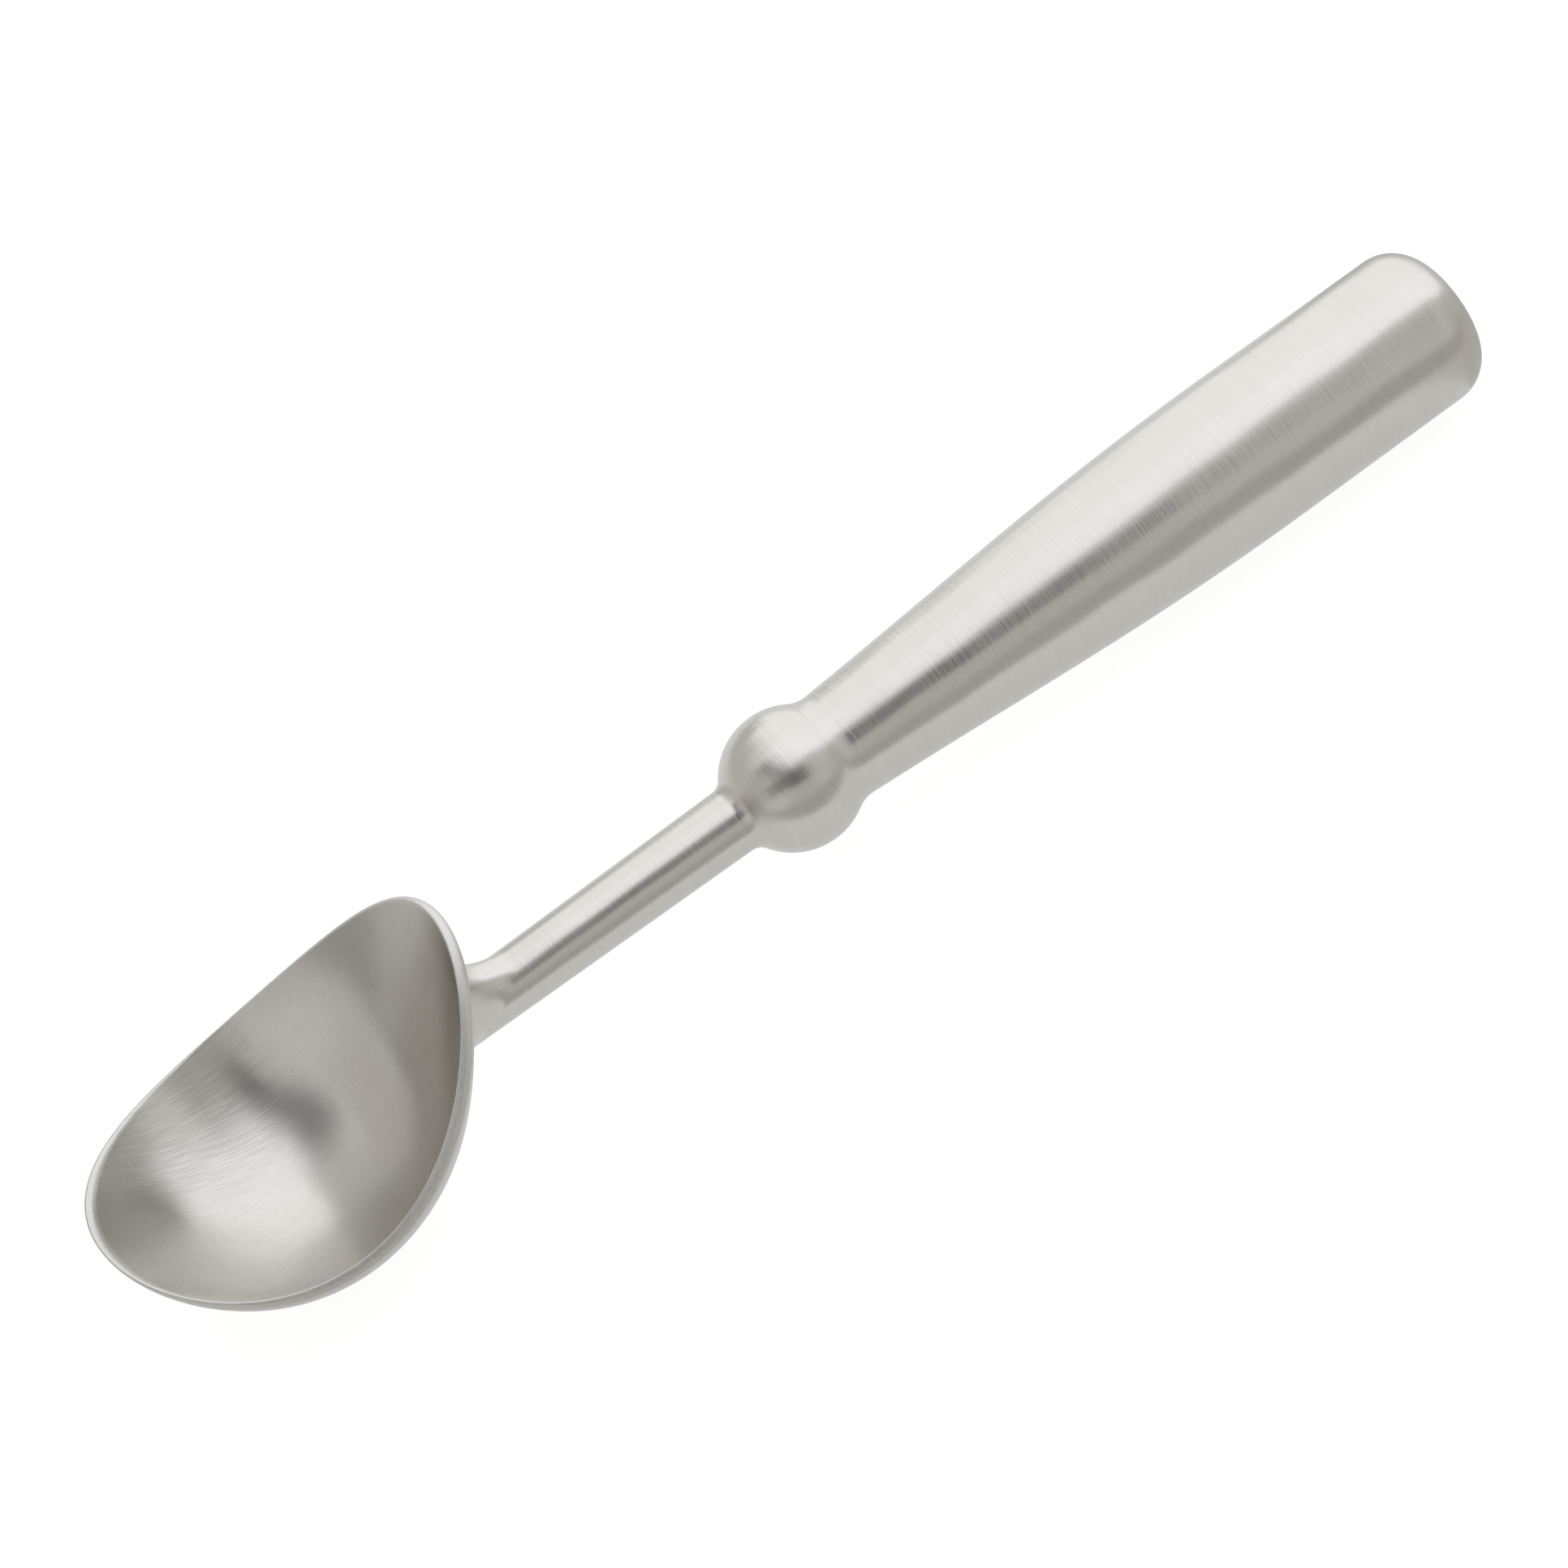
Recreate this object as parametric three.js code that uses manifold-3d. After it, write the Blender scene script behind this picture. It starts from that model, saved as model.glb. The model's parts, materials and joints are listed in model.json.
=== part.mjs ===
// Ice cream scoop: a dished bowl welded to a round neck, a ball collar and a hollow tapered handle.
// Units are millimetres. The neck, ball and handle share one axis, the tool's X axis, which runs from
// the bowl to the butt with the ball's centre at zero. +Z is the open side of the bowl.
// At the end the whole tool is pitched and moved so that it lies on the floor with its origin under it.

import * as THREE from 'three';
import { ParametricGeometry } from 'three/addons/geometries/ParametricGeometry.js';
import { mergeVertices } from 'three/addons/utils/BufferGeometryUtils.js';
import Module from 'manifold-3d';

const wasm = await Module();
wasm.setup();

// Gap kept between neighbouring pieces
const CLEARANCE = 0.3;

// Bowl: plan of the inside edge of the rim
const BOWL_LENGTH = 53.0;
const BOWL_WIDTH = 43.2;
const FRONT_FULLNESS = 0.06; // share by which the front half is wider and the rear half narrower
const NECK_REACH = 47.3; // ball centre to the rear of the rim

// Bowl: heights above the axis, and the dish below it
const RIM_TIP_HEIGHT = 3.3;
const RIM_SIDE_HEIGHT = 0.1;
const RIM_REAR_HEIGHT = 17.8;
const RIM_KICK = 1.9; // extra bend of the rim line towards the rear
const FLOOR_DROP = 12.6; // inside of the floor below the axis
const FLOOR_SHIFT = 2.4; // deepest place in front of the middle of the bowl
const DISH_RISE_ALONG = 13.7; // rise of the shallow dish at the bowl's half length
const DISH_RISE_ACROSS = 10.6; // rise of the shallow dish at the bowl's half width
// How late and how steeply the wall turns up
const WALL_POWER_TIP = 3;
const WALL_POWER_SIDE = 7;
const WALL_POWER_REAR = 5;

// Bowl: sheet thickness
const FLOOR_WALL = 1.8;
const RIM_WALL_TIP = 0.6;
const RIM_WALL_SIDE = 1.6;
const RIM_WALL_REAR = 1.5;

// Neck
const NECK_BOWL_RADIUS = 3.87;
const NECK_BALL_RADIUS = 4.25;
const FOOT_FILLET = 6.0; // concave weld bead between the neck and the bowl's back
const FOOT_TURN = 58; // degrees that the bead's face turns through
const FOOT_EDGE = 0.3; // thickness of the bead's edge on the neck
const TANG_RADIUS = 3.0;
const TANG_BEYOND = 5.0; // how far the tang runs past the bush

// Ball collar
const BALL_RADIUS = 9.0;
const FRONT_FILLET = 2.2; // ball to neck
const REAR_FILLET = 4.5; // ball to handle
const LIP_EDGE = 0.3; // thickness of the collar's front lip
const SOCKET_DEPTH = 3.0; // how far the neck's full diameter enters the collar
const SPIGOT_LENGTH = 6.0; // how far the collar enters the handle tube

// Handle tube
const WAIST_RADIUS = 7.1;
const GRIP_RADIUS = 10.45;
const BUTT_RADIUS = 10.38;
const GRIP_DISTANCE = 71.0; // ball centre to the fattest place
const TAPER_PULL = 22.8; // reach of the straight taper behind the waist
const TAPER_SLOPE = 0.058; // rise of that taper per millimetre
const GRIP_PULL = 25.0; // reach of the level stretch before the fattest place
const TUBE_WALL = 1.2;

// Inside the front of the handle
const BUSH_LENGTH = 12.0;
const PIN_RADIUS = 1.25;

// Butt
const BUTT_DISTANCE = 101.75; // ball centre to the flat of the butt
const BUTT_ROUND = 5.5;
const CAP_SKIRT = 4.0; // straight part of the cap
const RING_WALL = 1.5;
const RING_REACH = 3.5; // how far the joint ring enters the tube, and the cap

// Facets
const SEGMENTS = 48;
const PIN_SEGMENTS = 24;
const ARC_STEPS = 8;
const TAPER_STEPS = 12;
const BOWL_AROUND = 64;
const BOWL_RINGS = 12;
const SOLVE_STEPS = 50;
const MERGE_DISTANCE = 1e-4;
const NORMAL_STEP = 1e-4; // share of the bowl's surface used to find its normals
const LEAN_STEP = 0.01; // share of the bowl's back used to find its lean

// Colours
const SATIN_STEEL = { color: 0xb9b8b6, roughness: 0.34, metalness: 1.0 };
const INNER_STEEL = { color: 0x8f8e8c, roughness: 0.5, metalness: 1.0 };

// Places that follow from the sizes above
const BOWL_MIDDLE = -NECK_REACH - BOWL_LENGTH / 2;
const FLOOR_X = BOWL_MIDDLE - FLOOR_SHIFT;
const TUBE_BORE_FRONT = WAIST_RADIUS - TUBE_WALL;
const BUTT_ROUND_START = BUTT_DISTANCE - BUTT_ROUND;
const CAP_START = BUTT_ROUND_START - CAP_SKIRT;

// Merges the vertices of a geometry into one closed skin whose faces point out.
function closedSkin(geometry) {
  geometry.deleteAttribute('normal');
  geometry.deleteAttribute('uv');
  const merged = mergeVertices(geometry, MERGE_DISTANCE);
  const position = merged.attributes.position;
  const corners = Array.from(merged.index.array);
  const kept = [];
  let volume = 0;
  for (let i = 0; i < corners.length; i += 3) {
    const [a, b, c] = corners.slice(i, i + 3);
    if (a === b || b === c || c === a) continue;
    kept.push(a, b, c);
    const [p, q, r] = [a, b, c].map((n) => new THREE.Vector3().fromBufferAttribute(position, n));
    volume += p.dot(q.cross(r));
  }
  merged.setIndex(volume < 0 ? kept.reverse() : kept);
  return merged;
}

function toSolid(geometry) {
  return new wasm.Manifold(new wasm.Mesh({
    numProp: 3,
    vertProperties: new Float32Array(geometry.attributes.position.array),
    triVerts: new Uint32Array(geometry.index.array),
  }));
}

function toGeometry(solid) {
  const mesh = solid.getMesh();
  const geometry = new THREE.BufferGeometry();
  geometry.setAttribute('position', new THREE.BufferAttribute(mesh.vertProperties, 3));
  geometry.setIndex(new THREE.BufferAttribute(mesh.triVerts, 1));
  return geometry;
}

function piece(name, geometry, finish) {
  geometry.computeVertexNormals();
  const mesh = new THREE.Mesh(geometry, new THREE.MeshStandardMaterial(finish));
  mesh.name = name;
  return mesh;
}

// Turns a profile of [x, radius] points about the tool's X axis.
function turned(profile) {
  const points = profile.map(([x, radius]) => new THREE.Vector2(radius, x));
  return closedSkin(new THREE.LatheGeometry(points, SEGMENTS).rotateZ(-Math.PI / 2));
}

// A ring profile is closed by coming back to its first point.
function turnedRing(profile) {
  return turned([...profile, profile[0]]);
}

// Points of an arc in the [x, radius] plane. Angles are measured from +x towards larger radius.
function arc(x, radius, size, from, to) {
  return Array.from({ length: ARC_STEPS + 1 }, (_, i) => {
    const angle = THREE.MathUtils.lerp(from, to, i / ARC_STEPS);
    return [x + size * Math.cos(angle), radius + size * Math.sin(angle)];
  });
}

// Finds where a rising function passes through zero.
function solve(rising, low, high) {
  for (let i = 0; i < SOLVE_STEPS; i += 1) {
    const middle = (low + high) / 2;
    if (rising(middle) < 0) low = middle;
    else high = middle;
  }
  return (low + high) / 2;
}

// Bowl. An angle of 0 is the rear of the rim and half a turn is the tip.
function roundRim(angle, tip, side, rear) {
  const along = Math.cos(angle);
  const end = along > 0 ? rear : tip;
  return side + (end - side) * along * along;
}

function rimPoint(angle) {
  const along = Math.cos(angle);
  const lean = (RIM_REAR_HEIGHT - RIM_TIP_HEIGHT) / 2;
  const sweep = (RIM_REAR_HEIGHT + RIM_TIP_HEIGHT) / 2 - RIM_SIDE_HEIGHT;
  const kick = RIM_KICK * (along ** 3 - along);
  const halfWidth = (BOWL_WIDTH / 2) * (1 - FRONT_FULLNESS * along);
  return new THREE.Vector3(
    BOWL_MIDDLE + (BOWL_LENGTH / 2) * along,
    halfWidth * Math.sin(angle),
    RIM_SIDE_HEIGHT + lean * along + sweep * along ** 2 + kick,
  );
}

// Inside of the bowl: a shallow dish plus a wall term that only grows close to the rim.
function insidePoint(angle, share) {
  const rim = rimPoint(angle);
  const reach = rim.x - FLOOR_X;
  const alongPart = DISH_RISE_ALONG * (reach / (BOWL_LENGTH / 2)) ** 2;
  const acrossPart = DISH_RISE_ACROSS * (rim.y / (BOWL_WIDTH / 2)) ** 2;
  const dish = alongPart + acrossPart;
  const wall = rim.z + FLOOR_DROP - dish;
  const power = roundRim(angle, WALL_POWER_TIP, WALL_POWER_SIDE, WALL_POWER_REAR);
  return new THREE.Vector3(
    FLOOR_X + reach * share,
    rim.y * share,
    -FLOOR_DROP + dish * share ** 2 + wall * share ** power,
  );
}

// Direction from the inside of the sheet to its outside.
function outwardNormal(angle, share) {
  if (share === 0) return new THREE.Vector3(0, 0, -1);
  const [before, after] = [angle - NORMAL_STEP, angle + NORMAL_STEP];
  const [lower, upper] = [share - NORMAL_STEP, share + NORMAL_STEP];
  const around = insidePoint(after, share).sub(insidePoint(before, share));
  const outward = insidePoint(angle, upper).sub(insidePoint(angle, lower));
  return around.cross(outward).normalize();
}

function outsidePoint(angle, share, grown) {
  const rimWall = roundRim(angle, RIM_WALL_TIP, RIM_WALL_SIDE, RIM_WALL_REAR);
  const thickness = THREE.MathUtils.lerp(FLOOR_WALL, rimWall, share ** 2) + grown;
  return insidePoint(angle, share).addScaledVector(outwardNormal(angle, share), thickness);
}

// Rings are closer together near the rim, where the wall is steep.
function ringShare(ring) {
  return Math.sin((Math.PI / 2) * (ring / BOWL_RINGS));
}

// The sheet runs from the deepest place up the inside, across the rim and down the outside.
function bowlSheet() {
  const rows = 2 * BOWL_RINGS + 1;
  return closedSkin(new ParametricGeometry((u, v, target) => {
    const angle = 2 * Math.PI * u;
    const row = Math.round(v * rows);
    const inside = row <= BOWL_RINGS;
    const share = ringShare(inside ? row : rows - row);
    target.copy(inside ? insidePoint(angle, share) : outsidePoint(angle, share, 0));
  }, BOWL_AROUND, rows));
}

// The bowl's outside as a filled block with a lid, grown by the clearance, for cutting what meets it.
function bowlCutter() {
  const rows = BOWL_RINGS + 1;
  const lid = new THREE.Vector3(FLOOR_X, 0, RIM_REAR_HEIGHT);
  return toSolid(closedSkin(new ParametricGeometry((u, v, target) => {
    const row = Math.round(v * rows);
    const share = ringShare(rows - row);
    target.copy(row === 0 ? lid : outsidePoint(2 * Math.PI * u, share, CLEARANCE));
  }, BOWL_AROUND, rows)));
}

// Where the bowl's back crosses the axis, and how far it leans back there per millimetre of height
function backWall() {
  const height = (share) => outsidePoint(0, share, 0).z;
  const share = solve(height, 0, 1);
  const above = outsidePoint(0, share + LEAN_STEP, 0);
  const below = outsidePoint(0, share - LEAN_STEP, 0);
  return { x: outsidePoint(0, share, 0).x, lean: (above.x - below.x) / (above.z - below.z) };
}

// Collar: a concave fillet between the ball and a rod of the given radius, on its own circle.
function ballFillet(rodRadius, fillet) {
  const radius = rodRadius + fillet;
  const x = Math.sqrt((BALL_RADIUS + fillet) ** 2 - radius ** 2);
  return { x, radius, toBall: Math.atan2(radius, x) };
}

const FRONT = ballFillet(NECK_BALL_RADIUS, FRONT_FILLET);
const REAR = ballFillet(WAIST_RADIUS, REAR_FILLET);
const LIP_RISE = Math.acos(1 - (CLEARANCE + LIP_EDGE) / FRONT_FILLET);
const LIP_X = -FRONT.x + FRONT_FILLET * Math.sin(LIP_RISE);
const SOCKET_X = LIP_X + SOCKET_DEPTH;
const SPIGOT_END = REAR.x + SPIGOT_LENGTH;
const BUSH_START = SPIGOT_END + CLEARANCE;
const BUSH_END = BUSH_START + BUSH_LENGTH;
const PIN_X = (BUSH_START + BUSH_END) / 2;
const TANG_END = BUSH_END + TANG_BEYOND;

function ballCollar() {
  const socketRadius = NECK_BALL_RADIUS + CLEARANCE;
  const boreRadius = TANG_RADIUS + CLEARANCE;
  const spigotRadius = TUBE_BORE_FRONT - CLEARANCE;
  const frontEdge = -Math.PI / 2 + LIP_RISE;
  return turnedRing([
    [SOCKET_X, boreRadius],
    [SOCKET_X, socketRadius],
    [LIP_X, socketRadius],
    ...arc(-FRONT.x, FRONT.radius, FRONT_FILLET, frontEdge, -FRONT.toBall),
    ...arc(0, 0, BALL_RADIUS, Math.PI - FRONT.toBall, REAR.toBall).slice(1),
    ...arc(REAR.x, REAR.radius, REAR_FILLET, -Math.PI + REAR.toBall, -Math.PI / 2).slice(1),
    [REAR.x, spigotRadius],
    [SPIGOT_END, spigotRadius],
    [SPIGOT_END, boreRadius],
  ]);
}

// Neck: a tapered bar that ends on the bowl's back, with a thinner tang through the collar.
const NECK_END = SOCKET_X - CLEARANCE;

function neckRadiusAt(x) {
  return THREE.MathUtils.mapLinear(x, -NECK_REACH, LIP_X, NECK_BOWL_RADIUS, NECK_BALL_RADIUS);
}

function pinCutter() {
  const radius = PIN_RADIUS + CLEARANCE;
  const hole = new THREE.CylinderGeometry(radius, radius, 2 * GRIP_RADIUS, PIN_SEGMENTS);
  return toSolid(closedSkin(hole.translate(PIN_X, 0, 0)));
}

function neck() {
  const bar = turned([
    [FLOOR_X, 0],
    [FLOOR_X, neckRadiusAt(FLOOR_X)],
    [LIP_X, NECK_BALL_RADIUS],
    [NECK_END, NECK_BALL_RADIUS],
    [NECK_END, TANG_RADIUS],
    [TANG_END, TANG_RADIUS],
    [TANG_END, 0],
  ]);
  return toGeometry(toSolid(bar).subtract(bowlCutter()).subtract(pinCutter()));
}

// Weld bead: a ring with a concave face that leans with the bowl's back and is cut to it.
function bowlWeld() {
  const back = backWall();
  const start = back.x + FOOT_FILLET;
  const neckRadius = neckRadiusAt(start);
  const bore = neckRadius + CLEARANCE;
  const edgeRise = Math.acos(1 - (CLEARANCE + FOOT_EDGE) / FOOT_FILLET);
  const level = -Math.PI / 2;
  const wide = level - THREE.MathUtils.degToRad(FOOT_TURN);
  const face = arc(start, neckRadius + FOOT_FILLET, FOOT_FILLET, level - edgeRise, wide);
  const [edgeX] = face[0];
  const [, wideRadius] = face[ARC_STEPS];
  const bead = turnedRing([[FLOOR_X, bore], [edgeX, bore], ...face, [FLOOR_X, wideRadius]]);
  bead.applyMatrix4(new THREE.Matrix4().makeShear(0, 0, 0, 0, back.lean, 0));
  return toGeometry(toSolid(bead).subtract(bowlCutter()));
}

// Handle: outer radius along the tube, a taper from the waist that levels out at the grip.
function tubeOutline() {
  const taper = new THREE.CubicBezierCurve(
    new THREE.Vector2(REAR.x, WAIST_RADIUS),
    new THREE.Vector2(REAR.x + TAPER_PULL, WAIST_RADIUS + TAPER_PULL * TAPER_SLOPE),
    new THREE.Vector2(GRIP_DISTANCE - GRIP_PULL, GRIP_RADIUS),
    new THREE.Vector2(GRIP_DISTANCE, GRIP_RADIUS),
  );
  const stations = taper.getPoints(TAPER_STEPS).map((point) => [point.x, point.y]);
  stations[0][0] += CLEARANCE;
  return [...stations, [CAP_START - CLEARANCE, BUTT_RADIUS]];
}

function tubeRadiusAt(x) {
  const outline = tubeOutline();
  const next = Math.max(1, outline.findIndex(([station]) => station >= x));
  const [x0, r0] = outline[next - 1];
  const [x1, r1] = outline[next];
  return THREE.MathUtils.mapLinear(x, x0, x1, r0, r1);
}

function handleTube() {
  const outside = tubeOutline();
  const inside = outside.map(([x, radius]) => [x, radius - TUBE_WALL]).reverse();
  return turnedRing([...outside, ...inside]);
}

// Bush: fills the tube behind the collar, carries the tang and is crossed by the pin.
function bushRadiusAt(x) {
  return tubeRadiusAt(x) - TUBE_WALL - CLEARANCE;
}

function tangBush() {
  const bore = TANG_RADIUS + CLEARANCE;
  const bush = turnedRing([
    [BUSH_START, bore],
    [BUSH_START, bushRadiusAt(BUSH_START)],
    [BUSH_END, bushRadiusAt(BUSH_END)],
    [BUSH_END, bore],
  ]);
  return toGeometry(toSolid(bush).subtract(pinCutter()));
}

function tangPin() {
  const length = 2 * bushRadiusAt(BUSH_START);
  const pin = new THREE.CylinderGeometry(PIN_RADIUS, PIN_RADIUS, length, PIN_SEGMENTS);
  return closedSkin(pin.translate(PIN_X, 0, 0));
}

// Butt: a pressed cap with a round edge and a small flat, on a ring that joins it to the tube.
function endCap() {
  const centre = BUTT_RADIUS - BUTT_ROUND;
  return turned([
    [BUTT_DISTANCE - TUBE_WALL, 0],
    ...arc(BUTT_ROUND_START, centre, BUTT_ROUND - TUBE_WALL, 0, Math.PI / 2),
    [CAP_START, BUTT_RADIUS - TUBE_WALL],
    [CAP_START, BUTT_RADIUS],
    ...arc(BUTT_ROUND_START, centre, BUTT_ROUND, Math.PI / 2, 0),
    [BUTT_DISTANCE, 0],
  ]);
}

function capRing() {
  const outer = BUTT_RADIUS - TUBE_WALL - CLEARANCE;
  const inner = outer - RING_WALL;
  return turnedRing([
    [CAP_START - RING_REACH, inner],
    [CAP_START - RING_REACH, outer],
    [CAP_START + RING_REACH, outer],
    [CAP_START + RING_REACH, inner],
  ]);
}

// Assembly
const scoop = new THREE.Group();
scoop.add(
  piece('bowl', bowlSheet(), SATIN_STEEL),
  piece('bowl_weld', bowlWeld(), SATIN_STEEL),
  piece('neck', neck(), SATIN_STEEL),
  piece('ball_collar', ballCollar(), SATIN_STEEL),
  piece('handle_tube', handleTube(), SATIN_STEEL),
  piece('tang_bush', tangBush(), INNER_STEEL),
  piece('tang_pin', tangPin(), INNER_STEEL),
  piece('cap_ring', capRing(), INNER_STEEL),
  piece('end_cap', endCap(), SATIN_STEEL),
);

// Lowest point of a mesh when the tool is pitched about Y.
function lowest(name, pitch) {
  const position = scoop.getObjectByName(name).geometry.attributes.position;
  let low = Infinity;
  for (let i = 0; i < position.count; i += 1) {
    low = Math.min(low, position.getZ(i) * Math.cos(pitch) - position.getX(i) * Math.sin(pitch));
  }
  return low;
}

// The tool lies on the bowl's belly and the end cap, so both are lowest together.
const STEEPEST = Math.PI / 4;
scoop.rotation.y = solve((pitch) => lowest('bowl', pitch) - lowest('end_cap', pitch), -STEEPEST, STEEPEST);
scoop.updateMatrixWorld();
const box = new THREE.Box3().setFromObject(scoop, true);
scoop.position.set(-(box.min.x + box.max.x) / 2, -(box.min.y + box.max.y) / 2, -box.min.z);

const model = new THREE.Group();
model.add(scoop);

export default model;
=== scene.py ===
# %% [markdown]
# # A satin steel ice cream scoop
# The scoop is a dished bowl on a round neck, with a ball between the neck and a hollow handle.
# The imported CAD model comes in first. It fixes where every piece is, so nothing is placed by eye.
# The finished model has to stay inside it.

# %% Load the imported model
import json
import math

import bmesh
import bpy
import numpy as np
from mathutils import Matrix, Vector


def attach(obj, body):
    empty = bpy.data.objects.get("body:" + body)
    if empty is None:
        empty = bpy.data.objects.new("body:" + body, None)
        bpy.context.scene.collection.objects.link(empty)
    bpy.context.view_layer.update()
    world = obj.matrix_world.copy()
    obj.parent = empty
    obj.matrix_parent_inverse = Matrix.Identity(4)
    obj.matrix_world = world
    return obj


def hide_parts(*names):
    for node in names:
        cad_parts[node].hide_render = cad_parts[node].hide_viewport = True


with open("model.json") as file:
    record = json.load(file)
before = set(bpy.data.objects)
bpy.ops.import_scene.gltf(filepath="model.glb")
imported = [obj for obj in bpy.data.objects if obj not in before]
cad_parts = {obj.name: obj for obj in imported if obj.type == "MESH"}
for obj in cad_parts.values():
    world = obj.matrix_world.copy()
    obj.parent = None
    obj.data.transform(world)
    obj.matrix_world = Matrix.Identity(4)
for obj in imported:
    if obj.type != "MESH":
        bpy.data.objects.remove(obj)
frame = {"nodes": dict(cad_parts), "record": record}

MM = 0.001
scene = bpy.context.scene
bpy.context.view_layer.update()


print("CAD nodes:", sorted(frame["nodes"]))

# %% [markdown]
# ## The tool's own axes
# Neck, ball and handle share one axis, but the scoop lies on its belly and its butt, so that axis is
# tilted by about a degree. It is easiest to shape the pieces in the tool's own frame, in millimetres:
# x runs from the ball's centre to the butt, y across, and z to the open side of the bowl.
# The flat of the butt is stated in the record, and it gives both the axis and the ball's centre.

# %% Tool frame
BUTT_DISTANCE = 101.75  # ball centre to the flat of the butt

butt_flat = frame["record"]["mounts"][0]
AXIS = np.array(butt_flat["axis"]) / np.linalg.norm(butt_flat["axis"])
SIDE = np.array([0.0, 1.0, 0.0])
OPEN = np.cross(AXIS, SIDE)
TOOL_AXES = np.stack([AXIS, SIDE, OPEN])
IN_THE_MIDDLE = np.array([1.0, 0.0, 1.0])  # the stated place lies a little beside the axis
BALL_CENTRE = np.array(butt_flat["pos_m"]) * IN_THE_MIDDLE - AXIS * BUTT_DISTANCE * MM
TILT = math.atan2(-AXIS[2], AXIS[0])


def to_frame(points):
    """Tool millimetres to metres in the frame: the ball's centre plus x axis, y side and z open parts."""
    return BALL_CENTRE + MM * (points @ TOOL_AXES)


print("tilt of the axis in degrees:", round(math.degrees(TILT), 4))

# %% [markdown]
# ## From a grid of points to a closed skin
# Every piece below is a grid of points: its columns go once round and its rows go along. A mesh could be
# made with Blender's own shapes and then edited, but a formula on a grid keeps each size as one named
# value. The helpers join neighbours into four-sided faces, turn the faces outwards by the sign of the
# volume, and merge the points of a row that has shrunk to a single place, which closes a pole.

# %% Grid to mesh
MERGE_DISTANCE = 1e-7
SHARP_ANGLE = math.radians(35)


def outwards(places, faces, corners):
    """Faces turned over where their volume, a sum of triple products, comes out negative."""
    a, b, c, d = (places[faces[:, k]] for k in range(4))
    volume = (a * np.cross(b, c)).sum() + (a * np.cross(c, d)).sum()
    if volume < 0:
        return faces[:, ::-1], corners[:, ::-1]
    return faces, corners


def close_poles(mesh):
    """Points at one place become one point, and faces that have lost their area go."""
    merged = bmesh.new()
    merged.from_mesh(mesh)
    bmesh.ops.remove_doubles(merged, verts=merged.verts, dist=MERGE_DISTANCE)
    bmesh.ops.dissolve_degenerate(merged, edges=merged.edges, dist=MERGE_DISTANCE)
    merged.to_mesh(mesh)
    merged.free()


def skin(name, grid, uv, rows_closed=False, finish=None):
    """A mesh from a grid of tool points: face (i, j) joins points i, i+1 and j, j+1, columns go round.

    The finish gives each row of faces its material, and all rows have the first one without it.
    """
    rows, columns = grid.shape[:2]
    i = np.arange(rows if rows_closed else rows - 1)[:, None]
    j = np.arange(columns)[None, :]
    steps = ((0, 0), (0, 1), (1, 1), (1, 0))
    faces = np.stack([(i + a) % rows * columns + (j + b) % columns for a, b in steps], -1).reshape(-1, 4)
    corners = np.stack([uv[i + a, j + b] for a, b in steps], -2).reshape(-1, 4, 2)
    places = to_frame(grid).reshape(-1, 3)
    faces, corners = outwards(places, faces, corners)
    mesh = bpy.data.meshes.new(name)
    mesh.vertices.add(len(places))
    mesh.vertices.foreach_set("co", places.astype(np.float32).ravel())
    mesh.loops.add(faces.size)
    mesh.loops.foreach_set("vertex_index", faces.astype(np.int32).ravel())
    mesh.polygons.add(len(faces))
    mesh.polygons.foreach_set("loop_start", np.arange(0, faces.size, 4, dtype=np.int32))
    mesh.update(calc_edges=True)
    if finish is not None:
        mesh.polygons.foreach_set("material_index", np.repeat(finish, columns).astype(np.int32))
    layer = mesh.uv_layers.new(name="brush")
    layer.uv.foreach_set("vector", corners.astype(np.float32).ravel())
    close_poles(mesh)
    mesh.polygons.foreach_set("use_smooth", np.ones(len(mesh.polygons), dtype=bool))
    mesh.set_sharp_from_angle(angle=SHARP_ANGLE)
    mesh.update()
    piece = bpy.data.objects.new(name, mesh)
    scene.collection.objects.link(piece)
    return piece


def stand_in(piece, node):
    """The piece moves with the one rigid body and stands for a CAD node, which is hidden."""
    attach(piece, "root")
    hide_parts(node)
    print(piece.name, "replaces", node, "with", len(piece.data.polygons), "faces")


print("points closer than", MERGE_DISTANCE, "m become one")

# %% [markdown]
# ## Turned pieces
# The handle, the ball, the neck and the butt are round, so each is one profile carried round the axis.
# On the real scoop the joints are ground away and the skin runs through without a seam. Here each piece
# keeps its own mesh, and two neighbours end on the same circle with the same slope. The last two rows
# before a joint lie very close together, so that the hidden end face doesn't bend the shading there.

# %% Profiles
AROUND = 192
SEAM_STEP = 0.002

TURN = np.linspace(0, 2 * math.pi, AROUND, endpoint=False)
ROUND_Y = np.cos(TURN)
ROUND_Z = np.sin(TURN)


def stations(count):
    """Shares from 0 to 1 with one more close to each end."""
    middle = np.linspace(0, 1, count + 1)[1:-1]
    return np.concatenate([[0, SEAM_STEP], middle, [1 - SEAM_STEP, 1]])


def line(start, end, count=1):
    """Points from start to end, start + share times the difference."""
    share = stations(count)[:, None] if count > 1 else np.array([[0.0], [1.0]])
    return np.array(start) + share * (np.array(end) - np.array(start))


def arc(centre, radius, start, end, count):
    """Points of a circle, centre + radius times the cosine and sine of an angle from start to end."""
    angle = start + stations(count) * (end - start)
    return np.array(centre) + radius * np.stack([np.cos(angle), np.sin(angle)], -1)


def chain(*parts):
    """Parts of a profile one after the other, with the points that two parts share kept once."""
    points = np.concatenate(parts)
    moved = np.linalg.norm(np.diff(points, axis=0), axis=1) > MERGE_DISTANCE
    return points[np.concatenate([[True], moved])]


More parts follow.
